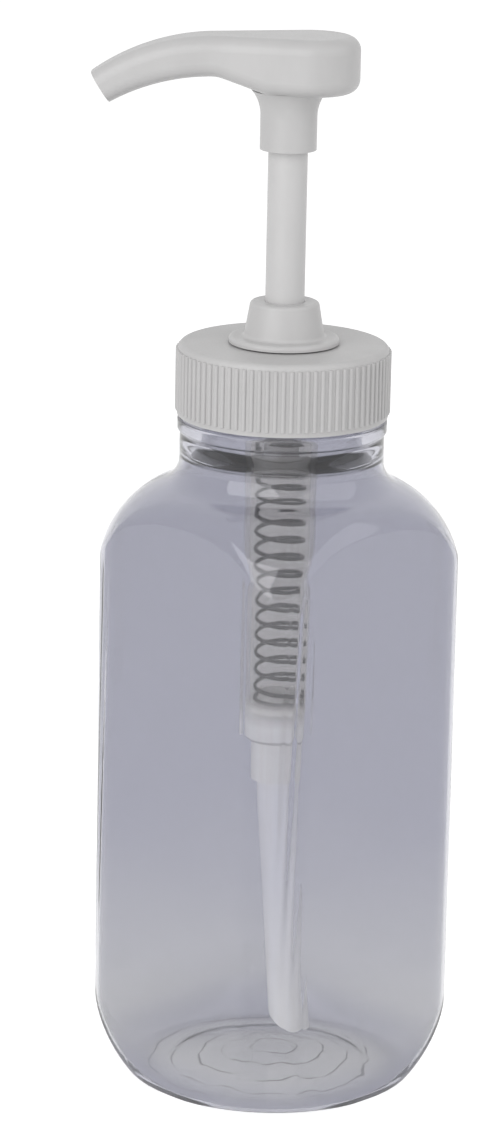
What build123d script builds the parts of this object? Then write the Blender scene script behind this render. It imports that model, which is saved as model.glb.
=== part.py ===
"""Soap pump dispenser: a clear square bottle with a screw-on, long-stroke lotion pump.

Millimetres, +Z up. The origin is on the bottle's axis, in the plane that it stands on.
The spout points along -X. The bottle's corners point along the X and Y axes.
"""

from math import acos, asin, atan2, cos, degrees, dist, pi, radians, sin, sqrt, tan
import os

from build123d import *

# Bottle body: a rounded square inside a round envelope, which domes into the neck and the foot
BODY_WIDTH = 56.4
BODY_CORNER_RADIUS = 9.6
BODY_TURN = 45.0
BOTTLE_HEIGHT = 147.8
WALL = 0.7
FLOOR = 1.0
ENVELOPE_RELIEF = 0.6
SHOULDER_DROP = 43.8
SHOULDER_RADIUS = 21.4
SHOULDER_BLEND = 6.0
HEEL_RISE = 21.0
HEEL_BLEND = 2.5
FOOT_RADIUS = 28.6
FOOT_ROUND = 3.5
STAND_WIDTH = 4.0
PUSH_UP = 3.0

# Bottle neck, with a one-turn screw finish
NECK_RADIUS = 20.4
NECK_ROUND = 5.5
NECK_STRAIGHT = 0.5
NECK_TAPER_DROP = 1.2
NECK_BORE = 16.0
BEAD_HEIGHT = 2.6
BEAD_STEP = 0.5
FINISH_HEIGHT = 10.8
FINISH_RADIUS = 17.5
LIP_ROUND = 0.4
THREAD_DEPTH = 1.15
THREAD_ROOT = 2.1
THREAD_CREST = 1.0
THREAD_LEAD = 4.233
THREAD_TURNS = 1.0
THREAD_DROP = 2.2

# Clearances
THREAD_GAP = 0.3
TURN_GAP = 0.3
SLIDE_GAP = 0.06
SEAT_GAP = 0.03
END_GAP = 0.1
FUSE_DEPTH = 0.3

# Closure: the ribbed screw cap, which turns round the pump
CLOSURE_WALL = 2.0
CLOSURE_TOP = 1.4
CLOSURE_BEAD_GAP = 0.6
CLOSURE_EDGE = 1.2
RIB_COUNT = 84
RIB_RADIUS = 0.45
RIB_MARGIN = 1.0

# Gasket and housing: the translucent pump cylinder, which hangs in the neck
GASKET_THICKNESS = 1.2
GASKET_WIDTH = 4.0
HOUSING_FLANGE = 1.3
CYLINDER_BORE = 6.0
HOUSING_WALL = 1.1
COLLAR_WALL = 1.8
LEDGE_DEPTH = 72.4
STEP_CHAMFER = 0.8
SEAT_WEB = 1.4
SOCKET_LENGTH = 7.0
SOCKET_WALL = 1.4

# Chaplet and stem seal: the stem's guide, snapped into the housing above the closure
CHAPLET_FLANGE_RADIUS = 11.0
CHAPLET_FLANGE = 1.2
CHAPLET_SKIRT = 10.0
HUB_HEIGHT = 7.0
HUB_FOOT_RADIUS = 8.0
HUB_TOP_RADIUS = 6.8
HUB_EDGE = 0.8
GUIDE_LENGTH = 6.4
SEAL_WALL = 1.2
SEAL_HEIGHT = 2.6
SEAL_LIP = 0.5

# Stem, piston and piston rod: the column that the head pushes down
STROKE = 30.0
STEM_RADIUS = 3.9
STEM_BORE = 2.35
STEM_INSERTION = 13.8
PISTON_HEIGHT = 7.0
PISTON_WAIST = 0.7
PISTON_LIP = 0.44
PISTON_LIP_HEIGHT = 1.0
PISTON_CUP_DEPTH = 2.0
PISTON_SLEEVE = 1.2
ROD_NECK_RADIUS = 3.1
ROD_SPIGOT = 6.5
ROD_FLANGE_RADIUS = 5.5
ROD_FLANGE = 1.5
ROD_TAIL = 4.0
ROD_TAIL_RADIUS = 3.5
STOP_RIBS = 3
STOP_RIB_WIDTH = 0.9
STOP_RIB_LENGTH = 4.0
STOP_RIB_BORE_RADIUS = 1.1

# Valve balls with 45-degree seats, and the cage that keeps the lower ball and seats the spring
OUTLET_BALL_RADIUS = 1.9
OUTLET_HOLE = 1.2
OUTLET_SEAT_DEPTH = 0.8
OUTLET_LIFT = 1.5
INLET_BALL_RADIUS = 2.5
INLET_HOLE = 1.6
INLET_LIFT = 1.4
CHAMBER_CLEARANCE = 0.5
CAGE_THICKNESS = 1.2
CAGE_SPIGOT = 2.4
CAGE_SPIGOT_RADIUS = 3.9
CAGE_SPIGOT_WALL = 0.9
CAGE_HOLE = 1.2
CAGE_SLOTS = 3
CAGE_SLOT_WIDTH = 1.3

# Return spring, wound left-handed
SPRING_HAND = -1
SPRING_WIRE = 0.85
SPRING_RADIUS = 4.75
SPRING_TURNS = 14.5
SPRING_END_TURNS = 1.0
SPRING_END_PITCH = 1.5
QUARTERS = 4
GAP_SAMPLES = 24

# Dip tube
TUBE_RADIUS = 3.95
TUBE_WALL = 1.0
TUBE_FOOT = 8.2
TUBE_BEND_RADIUS = 60.0
TUBE_LEAN = 4.5
TUBE_CUT_ANGLE = 28.0
TUBE_CUT_TURN = -45.0

# Pump head: the thumb pad with its drooping spout, on a skirt over the stem
SKIRT_RADIUS = 5.6
SKIRT_LENGTH = 6.6
SOCKET_DEPTH = 14.0
FLARE_WIDTH = 1.8
HEAD_HEIGHT = 22.5
HEAD_DEPTH = 11.2
HEAD_BACK = 13.8
HEAD_HALF_WIDTH = 9.6
HEAD_ROUND = 2.8
SPOUT_STRAIGHT = 14.0
SPOUT_UNDERCUT = 10.0
SPOUT_BEND_RADIUS = 42.0
SPOUT_BEND_ANGLE = 33.0
SPOUT_ROOT_HALF_WIDTH = 6.0
SPOUT_ROOT_HALF_HEIGHT = 4.0
SPOUT_TIP_HALF_WIDTH = 4.2
SPOUT_TIP_HALF_HEIGHT = 3.4
SPOUT_BORE = 1.9
PLAN_ROUND = 20.0
UNDERCUT_ROUND = 8.0

# Levels and radii that follow, from the bottle's land upwards and downwards
half_diagonal = BODY_WIDTH / sqrt(2) - BODY_CORNER_RADIUS * (sqrt(2) - 1)
envelope_radius = half_diagonal + ENVELOPE_RELIEF
bead_top = BOTTLE_HEIGHT - FINISH_HEIGHT
shoulder_start = BOTTLE_HEIGHT - SHOULDER_DROP
thread_radius = FINISH_RADIUS + THREAD_DEPTH
thread_first_level = BOTTLE_HEIGHT - THREAD_DROP - THREAD_LEAD * THREAD_TURNS
flank_slope = (THREAD_ROOT - THREAD_CREST) / 2 / THREAD_DEPTH
facing_flanks = THREAD_ROOT / 2 + THREAD_CREST / 2 - flank_slope * THREAD_GAP
closure_thread_level = thread_first_level - facing_flanks - THREAD_GAP * sqrt(1 + flank_slope**2)
flange_bottom = BOTTLE_HEIGHT + GASKET_THICKNESS
flange_top = flange_bottom + HOUSING_FLANGE
flange_radius = FINISH_RADIUS - END_GAP
closure_bottom = bead_top + CLOSURE_BEAD_GAP
closure_inside = flange_top + TURN_GAP
closure_top = closure_inside + CLOSURE_TOP
closure_bore = thread_radius + THREAD_GAP
closure_radius = closure_bore + CLOSURE_WALL
collar_top = closure_top + TURN_GAP
collar_radius = CYLINDER_BORE + COLLAR_WALL
hub_bottom = collar_top + CHAPLET_FLANGE
hub_top = hub_bottom + HUB_HEIGHT
chaplet_bottom = collar_top - CHAPLET_SKIRT
guide_bottom = hub_top - GUIDE_LENGTH
guide_bore = STEM_RADIUS + SLIDE_GAP
seal_radius = guide_bore + SEAL_WALL
piston_top = chaplet_bottom - END_GAP
piston_bottom = piston_top - PISTON_HEIGHT
stem_bottom = piston_top + END_GAP
rod_flange_top = piston_bottom - END_GAP
rod_flange_bottom = rod_flange_top - ROD_FLANGE
rod_top = stem_bottom + ROD_SPIGOT
skirt_bottom = hub_top + STROKE + TURN_GAP
stem_top = skirt_bottom + STEM_INSERTION
head_top = skirt_bottom + HEAD_HEIGHT
head_bottom = head_top - HEAD_DEPTH
spout_level = head_top - SPOUT_ROOT_HALF_HEIGHT
ledge = flange_bottom - LEDGE_DEPTH
cage_top = ledge + CAGE_THICKNESS
spring_bottom = cage_top + END_GAP
spring_top = rod_flange_bottom - END_GAP
seated_height = sqrt(2)
inlet_ball_level = ledge - END_GAP - INLET_LIFT - INLET_BALL_RADIUS
inlet_seat = inlet_ball_level - END_GAP - INLET_BALL_RADIUS * seated_height + INLET_HOLE
chamber_radius = INLET_BALL_RADIUS + CHAMBER_CLEARANCE
tube_stop = inlet_seat - SEAT_WEB
tube_top = tube_stop - END_GAP
socket_bore = TUBE_RADIUS + SEAT_GAP
socket_radius = socket_bore + SOCKET_WALL
socket_bottom = tube_stop - SOCKET_LENGTH
housing_radius = CYLINDER_BORE + HOUSING_WALL
outlet_ball_level = (
    rod_top - OUTLET_SEAT_DEPTH - OUTLET_HOLE + OUTLET_BALL_RADIUS * seated_height + END_GAP
)
outlet_stop = outlet_ball_level + OUTLET_BALL_RADIUS + OUTLET_LIFT + END_GAP


def turned(face):
    """A solid turned about Z from a face drawn as (radius, height)."""
    return revolve(Plane.XZ * face, Axis.Z)


def lathe(*points):
    """A solid turned about Z from the (radius, height) corners of its closed outline."""
    return turned(make_face(Polyline(*points, close=True)))


def ring(outer, inner, bottom, top):
    """A plain tube or washer about Z."""
    return lathe((inner, bottom), (outer, bottom), (outer, top), (inner, top))


def circles(solid):
    """The circular edges of a solid."""
    return solid.edges().filter_by(GeomType.CIRCLE)


def on_circle(centre, radius, angle):
    """A point of a circle, at an angle in degrees."""
    return centre[0] + radius * cos(radians(angle)), centre[1] + radius * sin(radians(angle))


def rounded_corner(face, corner, radius):
    """A flat face with the corner nearest to a point rounded."""
    nearest = min(face.vertices(), key=lambda vertex: dist((vertex.X, vertex.Y), corner))
    return fillet(nearest, radius)


def envelope_face(inset, floor, neck, neck_round, top):
    """Half the section of the round envelope, from the push-up in the foot to the top of the neck."""
    wide = envelope_radius - inset
    foot = FOOT_RADIUS - inset
    lean = wide - foot
    rise = HEEL_RISE - floor
    heel_radius = (lean**2 + rise**2) / (2 * lean)
    heel_sweep = degrees(asin(rise / heel_radius))
    heel_centre = (wide - heel_radius, HEEL_RISE)
    shoulder = SHOULDER_RADIUS - inset
    shoulder_centre = (wide - shoulder, shoulder_start)
    neck_foot = shoulder_start + sqrt(shoulder**2 - (neck - shoulder_centre[0]) ** 2)
    shoulder_sweep = degrees(asin((neck_foot - shoulder_start) / shoulder))
    stand_inside = FOOT_RADIUS - FOOT_ROUND - STAND_WIDTH
    dome_radius = (stand_inside**2 + PUSH_UP**2) / (2 * PUSH_UP)
    dome_centre = (0, floor + PUSH_UP - dome_radius)
    dome_middle = 90 - degrees(asin(stand_inside / dome_radius)) / 2
    corners = {
        "crown": (0, floor + PUSH_UP),
        "stand": (stand_inside, floor),
        "foot": (foot, floor),
        "heel": (wide, HEEL_RISE),
        "shoulder": (wide, shoulder_start),
        "neck": (neck, neck_foot),
        "rim": (neck, top),
        "axis": (0, top),
    }
    outline = Curve() + [
        ThreePointArc(corners["crown"], on_circle(dome_centre, dome_radius, dome_middle), corners["stand"]),
        Line(corners["stand"], corners["foot"]),
        ThreePointArc(corners["foot"], on_circle(heel_centre, heel_radius, -heel_sweep / 2), corners["heel"]),
        Line(corners["heel"], corners["shoulder"]),
        ThreePointArc(
            corners["shoulder"],
            on_circle(shoulder_centre, shoulder, shoulder_sweep / 2),
            corners["neck"],
        ),
        Line(corners["neck"], corners["rim"]),
        Line(corners["rim"], corners["axis"]),
        Line(corners["axis"], corners["crown"]),
    ]
    face = make_face(outline)
    face = rounded_corner(face, corners["foot"], FOOT_ROUND - inset)
    return rounded_corner(face, corners["neck"], neck_round)


def bottle_form(inset, floor, neck, neck_round, top):
    """The bottle's outside, or its inside when inset by the wall, without the screw finish."""
    width = BODY_WIDTH - 2 * inset
    square = RectangleRounded(width, width, BODY_CORNER_RADIUS - inset)
    prism = Rot(0, 0, BODY_TURN) * extrude(square, top)
    form = prism & turned(envelope_face(inset, floor, neck, neck_round, top))

    def rims(lowest, highest):
        """The curved edges where the flat panels and corners meet the envelope, between two levels."""
        return [
            edge
            for edge in form.edges()
            if lowest < edge.center().Z < highest
            and edge.geom_type not in (GeomType.LINE, GeomType.CIRCLE)
        ]

    form = fillet(rims(shoulder_start, top), SHOULDER_BLEND - inset)
    return fillet(rims(0, HEEL_RISE), HEEL_BLEND - inset)


def screw_thread(radius, depth, first_level):
    """One turn of screw thread on a cylinder; a negative depth points inwards."""
    side = 1 if depth > 0 else -1
    path = Helix(THREAD_LEAD, THREAD_LEAD * THREAD_TURNS, radius, center=(0, 0, first_level))
    section = make_face(
        Polyline(
            (-side * FUSE_DEPTH, -THREAD_ROOT / 2),
            (0, -THREAD_ROOT / 2),
            (depth, -THREAD_CREST / 2),
            (depth, THREAD_CREST / 2),
            (0, THREAD_ROOT / 2),
            (-side * FUSE_DEPTH, THREAD_ROOT / 2),
            close=True,
        )
    )
    start = Plane(path @ 0, x_dir=(1, 0, 0), z_dir=path % 0)
    return sweep(start * section, path=path, is_frenet=True)


def bottle():
    """The clear bottle: a hollow square body with a round neck, a bead and a screw finish."""
    outside = bottle_form(0, 0, NECK_RADIUS, NECK_ROUND, bead_top)
    neck_inside = NECK_RADIUS - WALL
    hollow = NECK_RADIUS + NECK_ROUND - envelope_radius + SHOULDER_RADIUS
    taper_bottom = shoulder_start + sqrt((SHOULDER_RADIUS + NECK_ROUND) ** 2 - hollow**2) + NECK_STRAIGHT
    inside = bottle_form(WALL, FLOOR, neck_inside, NECK_ROUND + WALL, taper_bottom)
    mouth = lathe(
        (0, taper_bottom),
        (neck_inside, taper_bottom),
        (NECK_BORE, bead_top - BEAD_HEIGHT - NECK_TAPER_DROP),
        (NECK_BORE, BOTTLE_HEIGHT),
        (0, BOTTLE_HEIGHT),
    )
    bead = ring(NECK_RADIUS + BEAD_STEP, NECK_BORE, bead_top - BEAD_HEIGHT, bead_top)
    bead = fillet(circles(bead).sort_by(lambda edge: edge.radius)[-2:], BEAD_STEP)
    finish = ring(FINISH_RADIUS, NECK_BORE, bead_top - FUSE_DEPTH, BOTTLE_HEIGHT)
    lip = circles(finish).filter_by(lambda edge: edge.center().Z > BOTTLE_HEIGHT - FUSE_DEPTH)
    finish = fillet(lip, LIP_ROUND)
    thread = screw_thread(FINISH_RADIUS, THREAD_DEPTH, thread_first_level)
    return outside + bead + finish - inside - mouth + thread


def closure():
    """The screw cap, with grip ribs outside, one turn of thread inside and a hole for the pump."""
    hole = collar_radius + TURN_GAP
    shell = lathe(
        (closure_bore, closure_bottom),
        (closure_radius, closure_bottom),
        (closure_radius, closure_top),
        (hole, closure_top),
        (hole, closure_inside),
        (closure_bore, closure_inside),
    )
    top_edges = circles(shell).filter_by(lambda edge: edge.center().Z > closure_inside + END_GAP)
    shell = fillet(top_edges.sort_by(lambda edge: edge.radius)[-1], CLOSURE_EDGE)
    rib_bottom = closure_bottom + RIB_MARGIN
    rib_length = closure_top - CLOSURE_EDGE - rib_bottom
    rib = Cylinder(RIB_RADIUS, rib_length, align=(Align.CENTER, Align.CENTER, Align.MIN))
    ribs = [place * rib for place in PolarLocations(closure_radius, RIB_COUNT)]
    shell += [Pos(0, 0, rib_bottom) * each for each in ribs]
    return shell + screw_thread(closure_bore, -THREAD_DEPTH, closure_thread_level)


def gasket():
    """The sealing washer between the bottle's land and the housing's flange."""
    return ring(flange_radius, flange_radius - GASKET_WIDTH, BOTTLE_HEIGHT, flange_bottom)


def housing():
    """The pump cylinder: collar, flange, bore, ball chamber with its seat, and dip tube socket."""
    return lathe(
        (socket_bore, socket_bottom),
        (socket_radius, socket_bottom),
        (socket_radius, inlet_seat),
        (housing_radius - STEP_CHAMFER, inlet_seat),
        (housing_radius, inlet_seat + STEP_CHAMFER),
        (housing_radius, flange_bottom),
        (flange_radius, flange_bottom),
        (flange_radius, flange_top),
        (collar_radius, flange_top),
        (collar_radius, collar_top),
        (CYLINDER_BORE, collar_top),
        (CYLINDER_BORE, ledge),
        (chamber_radius, ledge),
        (chamber_radius, inlet_seat + chamber_radius - INLET_HOLE),
        (INLET_HOLE, inlet_seat),
        (INLET_HOLE, tube_stop),
        (socket_bore, tube_stop),
    )


def chaplet():
    """The guide on top of the closure: flange, tapered hub, and a skirt inside the housing."""
    pocket = seal_radius + SEAT_GAP
    skirt = CYLINDER_BORE - SEAT_GAP
    body = lathe(
        (pocket, chaplet_bottom),
        (skirt, chaplet_bottom),
        (skirt, collar_top),
        (CHAPLET_FLANGE_RADIUS, collar_top),
        (CHAPLET_FLANGE_RADIUS, hub_bottom),
        (HUB_FOOT_RADIUS, hub_bottom),
        (HUB_TOP_RADIUS, hub_top),
        (guide_bore, hub_top),
        (guide_bore, guide_bottom),
        (pocket, guide_bottom),
    )
    upper_edges = circles(body).filter_by(
        lambda edge: edge.center().Z > collar_top + END_GAP and edge.radius > seal_radius + END_GAP
    )
    return fillet(upper_edges, HUB_EDGE)


def stem_seal():
    """The wiper ring in the chaplet, which keeps water out along the stem."""
    bottom = guide_bottom - SEAL_HEIGHT
    return lathe(
        (guide_bore + SEAL_LIP, bottom),
        (seal_radius, bottom),
        (seal_radius, guide_bottom),
        (guide_bore + SEAL_LIP, guide_bottom),
        (guide_bore, guide_bottom - SEAL_LIP),
        (guide_bore + SEAL_LIP, guide_bottom - SEAL_HEIGHT / 2),
        (guide_bore, bottom + SEAL_LIP),
    )


def stem():
    """The tube between piston and head, with three ribs that stop the outlet ball."""
    tube = ring(STEM_RADIUS, STEM_BORE, stem_bottom, stem_top)
    reach = STEM_BORE + FUSE_DEPTH - STOP_RIB_BORE_RADIUS
    rib = Box(reach, STOP_RIB_WIDTH, STOP_RIB_LENGTH, align=(Align.MIN, Align.CENTER, Align.MIN))
    ribs = [place * rib for place in PolarLocations(STOP_RIB_BORE_RADIUS, STOP_RIBS)]
    return tube + [Pos(0, 0, outlet_stop) * each for each in ribs]


def piston():
    """The sealing piston: a sleeve on the rod's neck with a cupped lip at each end."""
    inner = ROD_NECK_RADIUS + SLIDE_GAP
    sleeve = inner + PISTON_SLEEVE
    outer = CYLINDER_BORE - SLIDE_GAP
    waist = CYLINDER_BORE - PISTON_WAIST
    lip = outer - PISTON_LIP
    cup = (sleeve + lip) / 2
    middle = (piston_bottom + piston_top) / 2

    def end(level, side):
        """Corners of one end, from the sleeve outwards to the waist."""
        return [
            (inner, level),
            (sleeve, level),
            (cup, level + side * PISTON_CUP_DEPTH),
            (lip, level),
            (outer, level),
            (outer, level + side * PISTON_LIP_HEIGHT),
            (waist, middle - side * (PISTON_HEIGHT / 2 - PISTON_CUP_DEPTH - PISTON_LIP_HEIGHT)),
        ]

    lower = end(piston_bottom, 1)
    upper = end(piston_top, -1)
    return lathe(*lower, *reversed(upper))


def piston_rod():
    """The rod through the piston: tail in the spring, flange, neck, spigot in the stem and ball seat."""
    spigot = STEM_BORE - SEAT_GAP
    seat_rim = OUTLET_HOLE + OUTLET_SEAT_DEPTH
    return lathe(
        (OUTLET_HOLE, rod_flange_bottom - ROD_TAIL),
        (ROD_TAIL_RADIUS, rod_flange_bottom - ROD_TAIL),
        (ROD_TAIL_RADIUS, rod_flange_bottom),
        (ROD_FLANGE_RADIUS, rod_flange_bottom),
        (ROD_FLANGE_RADIUS, rod_flange_top),
        (ROD_NECK_RADIUS, rod_flange_top),
        (ROD_NECK_RADIUS, stem_bottom),
        (spigot, stem_bottom),
        (spigot, rod_top),
        (seat_rim, rod_top),
        (OUTLET_HOLE, rod_top - OUTLET_SEAT_DEPTH),
    )


def outlet_ball():
    """The upper valve ball, on its seat in the rod's top."""
    return Pos(0, 0, outlet_ball_level) * Sphere(OUTLET_BALL_RADIUS)


def inlet_ball():
    """The lower valve ball, on its seat in the housing."""
    return Pos(0, 0, inlet_ball_level) * Sphere(INLET_BALL_RADIUS)


def ball_cage():
    """The washer over the ball chamber, slotted for the soap, with a spigot that centres the spring."""
    spigot_bore = CAGE_SPIGOT_RADIUS - CAGE_SPIGOT_WALL
    cage = lathe(
        (CAGE_HOLE, ledge),
        (CYLINDER_BORE - SEAT_GAP, ledge),
        (CYLINDER_BORE - SEAT_GAP, cage_top),
        (CAGE_SPIGOT_RADIUS, cage_top),
        (CAGE_SPIGOT_RADIUS, cage_top + CAGE_SPIGOT),
        (spigot_bore, cage_top + CAGE_SPIGOT),
        (spigot_bore, cage_top),
        (CAGE_HOLE, cage_top),
    )
    slot = Box(chamber_radius, CAGE_SLOT_WIDTH, CAGE_THICKNESS, align=(Align.MIN, Align.CENTER, Align.MIN))
    slots = [place * slot for place in PolarLocations(0, CAGE_SLOTS)]
    return cage - [Pos(0, 0, ledge) * each for each in slots]


def spring_height(turn, turns, pitch):
    """The wire's height above its lower end after a number of turns, with closer turns at both ends."""
    low = min(turn, SPRING_END_TURNS)
    high = max(turn - (turns - SPRING_END_TURNS), 0)
    return (low + high) * SPRING_END_PITCH + (turn - low - high) * pitch


def biarc(first, first_way, last, last_way):
    """Two tangent arcs from one point and direction to another."""
    chord = last - first
    ways = first_way + last_way
    spread = 2 * (1 - first_way.dot(last_way))
    along = chord.dot(ways)
    reach = (-along + sqrt(along**2 + spread * chord.dot(chord))) / spread
    first_corner = first + first_way * reach
    last_corner = last - last_way * reach
    joint = (first_corner + last_corner) / 2
    middle_way = (last_corner - first_corner).normalized()
    return [TangentArc(first, joint, tangent=first_way), TangentArc(joint, last, tangent=middle_way)]


def spring():
    """The return spring: one wire wound on quarter-turn biarcs, with closed ends."""
    turns = SPRING_TURNS + 2 * SPRING_END_TURNS
    climb = spring_top - spring_bottom - SPRING_WIRE
    pitch = (climb - 2 * SPRING_END_TURNS * SPRING_END_PITCH) / SPRING_TURNS
    base = spring_bottom + SPRING_WIRE / 2
    count = round(turns * QUARTERS)
    knots = [turns * index / count for index in range(count + 1)]

    def point(turn):
        angle = SPRING_HAND * 2 * pi * turn
        level = base + spring_height(turn, turns, pitch)
        return Vector(SPRING_RADIUS * cos(angle), SPRING_RADIUS * sin(angle), level)

    def way(turn):
        angle = SPRING_HAND * 2 * pi * turn
        step = 1 / (2 * QUARTERS)
        before = max(turn - step, 0)
        after = min(turn + step, turns)
        rise = spring_height(after, turns, pitch) - spring_height(before, turns, pitch)
        slope = rise / ((after - before) * 2 * pi * SPRING_RADIUS)
        return Vector(-SPRING_HAND * sin(angle), SPRING_HAND * cos(angle), slope).normalized()

    edges = []
    for first, last in zip(knots, knots[1:]):
        edges += biarc(point(first), way(first), point(last), way(last))
    start = point(0) - way(0) * SPRING_WIRE
    finish = point(turns) + way(turns) * SPRING_WIRE
    edges = [Line(start, point(0)), *edges, Line(point(turns), finish)]
    path = Wire([edge.edge() for edge in edges])
    section = Plane(start, z_dir=way(0)) * Circle(SPRING_WIRE / 2)
    samples = count * GAP_SAMPLES // QUARTERS
    line = [point(turns * index / samples) for index in range(samples + 1)]
    half_turn = GAP_SAMPLES // 2
    gap = min(
        (line[index] - line[other]).length
        for index in range(samples)
        for other in range(index + half_turn, min(index + 2 * GAP_SAMPLES, samples) + 1)
    )
    print(f"spring: pitch {pitch:.3f} mm, least gap to itself {gap - SPRING_WIRE:.3f} mm")
    return sweep(section, path=path)


def dip_tube():
    """The suction tube: straight in its socket, then leaning aside, with a slanted foot."""
    lean = radians(TUBE_LEAN)

    def bend_point(turn):
        """A point of the bend below the socket."""
        return TUBE_BEND_RADIUS * (1 - cos(turn)), 0, socket_bottom - TUBE_BEND_RADIUS * sin(turn)

    bend_end = bend_point(lean)
    drop = bend_end[2] - TUBE_FOOT
    foot = (bend_end[0] + drop * tan(lean), 0, TUBE_FOOT)
    edges = [
        Line((0, 0, tube_top), (0, 0, socket_bottom)),
        ThreePointArc((0, 0, socket_bottom), bend_point(lean / 2), bend_end),
        Line(bend_end, foot),
    ]
    path = Wire([each.edge() for each in edges])
    top = Plane((0, 0, tube_top), z_dir=(0, 0, -1))
    outer = sweep(top * Circle(TUBE_RADIUS), path=path)
    inner = sweep(top * Circle(TUBE_RADIUS - TUBE_WALL), path=path)
    block = Box(drop, drop, drop, align=(Align.CENTER, Align.CENTER, Align.MAX))
    tip = Pos(TUBE_RADIUS, 0, 0)
    slant = Rot(0, TUBE_CUT_ANGLE, 0)
    return outer - inner - Pos(*foot) * Rot(0, 0, TUBE_CUT_TURN) * tip * slant * block


def spout_point(angle, rise=0):
    """A point of the spout's bend, as (x, z), at an angle in degrees and a rise across the spout."""
    turn = radians(angle)
    radius = SPOUT_BEND_RADIUS + rise
    return -SPOUT_STRAIGHT - radius * sin(turn), spout_level - SPOUT_BEND_RADIUS + radius * cos(turn)


def head_side():
    """The head's side view, drawn as (x, z): a level top, the drooping spout and a deeper pad."""
    behind = HEAD_BACK + FUSE_DEPTH
    top_root = (-SPOUT_STRAIGHT, head_top)
    under_root = (-SPOUT_STRAIGHT, spout_level - SPOUT_ROOT_HALF_HEIGHT)
    pad_front = (-SPOUT_STRAIGHT + SPOUT_UNDERCUT, head_bottom)
    tip_top = spout_point(SPOUT_BEND_ANGLE, SPOUT_TIP_HALF_HEIGHT)
    tip_under = spout_point(SPOUT_BEND_ANGLE, -SPOUT_TIP_HALF_HEIGHT)
    outline = Curve() + [
        Line((behind, head_top), top_root),
        TangentArc(top_root, tip_top, tangent=(-1, 0)),
        Line(tip_top, tip_under),
        TangentArc(under_root, tip_under, tangent=(-1, 0)),
        Line(under_root, pad_front),
        Line(pad_front, (behind, head_bottom)),
        Line((behind, head_bottom), (behind, head_top)),
    ]
    face = rounded_corner(make_face(outline), pad_front, UNDERCUT_ROUND)
    return rounded_corner(face, under_root, UNDERCUT_ROUND)


def head_plan():
    """The head seen from above: a pad with a round back that narrows into the spout."""
    pad_centre = (HEAD_BACK - HEAD_HALF_WIDTH, 0)
    reach = spout_point(SPOUT_BEND_ANGLE, SPOUT_TIP_HALF_HEIGHT)[0] - FUSE_DEPTH
    root = (-SPOUT_STRAIGHT, SPOUT_ROOT_HALF_WIDTH)
    tip = (reach, SPOUT_TIP_HALF_WIDTH)
    root_angle = degrees(atan2(root[1], root[0] - pad_centre[0]))
    tangent_angle = root_angle - degrees(acos(HEAD_HALF_WIDTH / dist(root, pad_centre)))
    pad = on_circle(pad_centre, HEAD_HALF_WIDTH, tangent_angle)

    def mirrored(point):
        """The same point on the other side."""
        return point[0], -point[1]

    outline = Curve() + [
        ThreePointArc(pad, (HEAD_BACK, 0), mirrored(pad)),
        *Polyline(mirrored(pad), mirrored(root), mirrored(tip), tip, root, pad).edges(),
    ]
    face = rounded_corner(make_face(outline), root, PLAN_ROUND)
    return rounded_corner(face, mirrored(root), PLAN_ROUND)


def head_body():
    """The pad and the spout, with their upper and lower edges rounded."""
    side = extrude(Plane.XZ * head_side(), HEAD_HALF_WIDTH + FUSE_DEPTH, both=True)
    plan = Pos(0, 0, skirt_bottom) * extrude(head_plan(), HEAD_HEIGHT + FUSE_DEPTH)
    body = side & plan
    tip_edges = body.faces().sort_by(Axis.X)[0].edges()

    def crossing(edge):
        """Whether an edge runs straight across the head or straight up it."""
        way = edge % 0
        return edge.geom_type == GeomType.LINE and abs(way.X) < max(abs(way.Y), abs(way.Z))

    rims = [edge for edge in body.edges() if edge not in tip_edges and not crossing(edge)]
    return fillet(rims, HEAD_ROUND)


def skirt_body():
    """The skirt over the stem, flared into the pad above it."""
    flare_start = (SKIRT_RADIUS, skirt_bottom + SKIRT_LENGTH)
    flare_end = (SKIRT_RADIUS + FLARE_WIDTH, head_bottom + FUSE_DEPTH)
    outline = Curve() + [
        Line((0, skirt_bottom), (SKIRT_RADIUS, skirt_bottom)),
        Line((SKIRT_RADIUS, skirt_bottom), flare_start),
        TangentArc(flare_start, flare_end, tangent=(0, 1)),
        Line(flare_end, (0, flare_end[1])),
        Line((0, flare_end[1]), (0, skirt_bottom)),
    ]
    return turned(make_face(outline))


def soap_way():
    """The soap's way from the stem up and along the spout."""
    start = (0, 0, spout_level)
    root_x, root_z = spout_point(0)
    half_x, half_z = spout_point(SPOUT_BEND_ANGLE / 2)
    tip_x, tip_z = spout_point(SPOUT_BEND_ANGLE)
    straight = Line(start, (root_x, 0, root_z))
    bend = ThreePointArc((root_x, 0, root_z), (half_x, 0, half_z), (tip_x, 0, tip_z))
    path = Wire([straight.edge(), bend.edge()])
    spout_bore = sweep(Plane(start, z_dir=(-1, 0, 0)) * Circle(SPOUT_BORE), path=path)
    riser = ring(STEM_BORE, 0, skirt_bottom, spout_level)
    return spout_bore + riser


def actuator():
    """The pump head: thumb pad and spout in one, with a skirt over the stem and a way for the soap."""
    socket = ring(STEM_RADIUS + SEAT_GAP, 0, skirt_bottom, skirt_bottom + SOCKET_DEPTH)
    return head_body() + skirt_body() - socket - soap_way()


def main():
    """Write one file for each piece."""
    os.makedirs("parts", exist_ok=True)
    pieces = [
        bottle,
        closure,
        gasket,
        housing,
        chaplet,
        stem_seal,
        stem,
        piston,
        piston_rod,
        outlet_ball,
        inlet_ball,
        ball_cage,
        spring,
        dip_tube,
        actuator,
    ]
    for make in pieces:
        export_step(make(), f"parts/{make.__name__}.step")


if __name__ == "__main__":
    main()
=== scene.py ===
"""Looks for a soap pump dispenser: a clear square bottle with a screw-on lotion pump.

Metres, in the model's own frame: +Z up, the bottle standing on z = 0, the spout along -X.
"""

import math

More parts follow.
